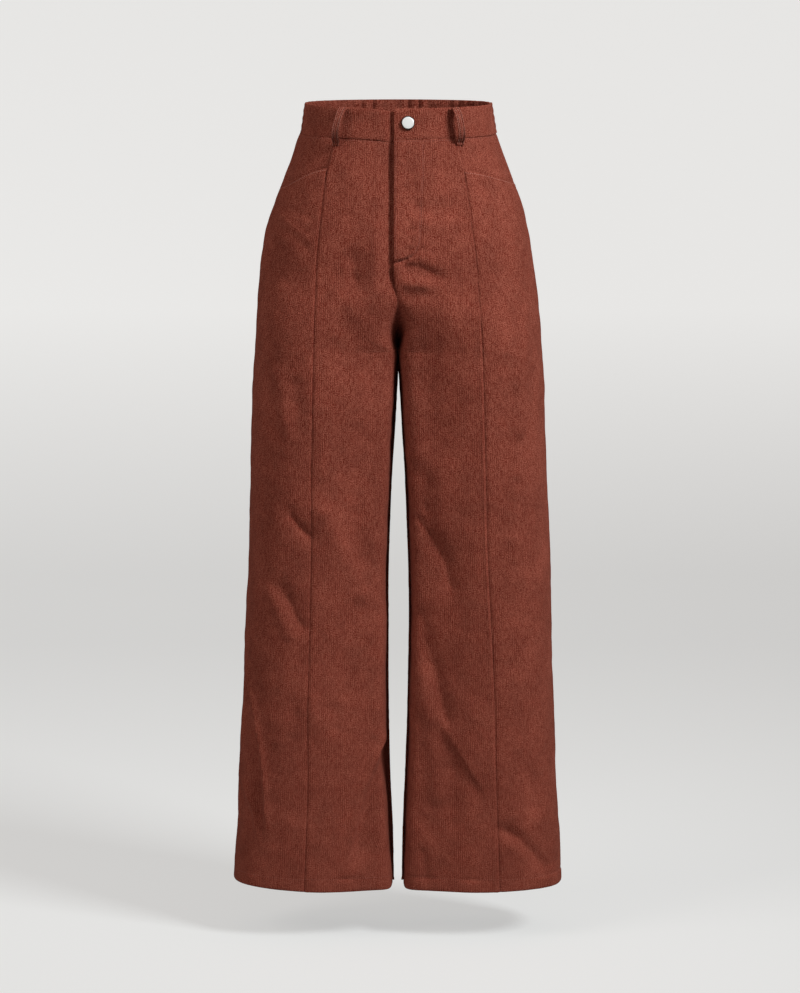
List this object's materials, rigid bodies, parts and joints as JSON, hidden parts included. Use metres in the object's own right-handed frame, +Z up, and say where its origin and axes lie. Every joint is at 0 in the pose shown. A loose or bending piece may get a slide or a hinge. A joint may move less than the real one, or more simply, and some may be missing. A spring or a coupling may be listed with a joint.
{
  "type": "corduroy trousers",
  "caption": "High-waisted wide-leg trousers in fine corduroy, worn hollow, with a fly front, long front seams, slanted hip pockets, belt loops and an elastic back waist.",
  "frame": {"origin": "centre of the waist opening at the middle height of the waistband, where the wearer holds the trousers up", "axes": "+X to the wearer's left, -Y to the front, +Z up"},
  "size_m": [0.4344, 0.2393, 1.0302],
  "materials": {
    "corduroy": "fine-wale cotton corduroy, brushed, rust brown",
    "button_metal": "polished silver-coloured metal"
  },
  "bodies": {
    "root": {"waistband_front_left": "corduroy", "waistband_front_right": "corduroy", "waistband_back": "corduroy", "front_centre_left": "corduroy", "front_centre_right": "corduroy", "front_side_left": "corduroy", "front_side_right": "corduroy", "hip_facing_left": "corduroy", "hip_facing_right": "corduroy", "back_left": "corduroy", "back_right": "corduroy", "belt_loop_front_left": "corduroy", "belt_loop_front_right": "corduroy", "belt_loop_back_left": "corduroy", "belt_loop_back_right": "corduroy", "button": "button_metal"}
  },
  "joints": []
}
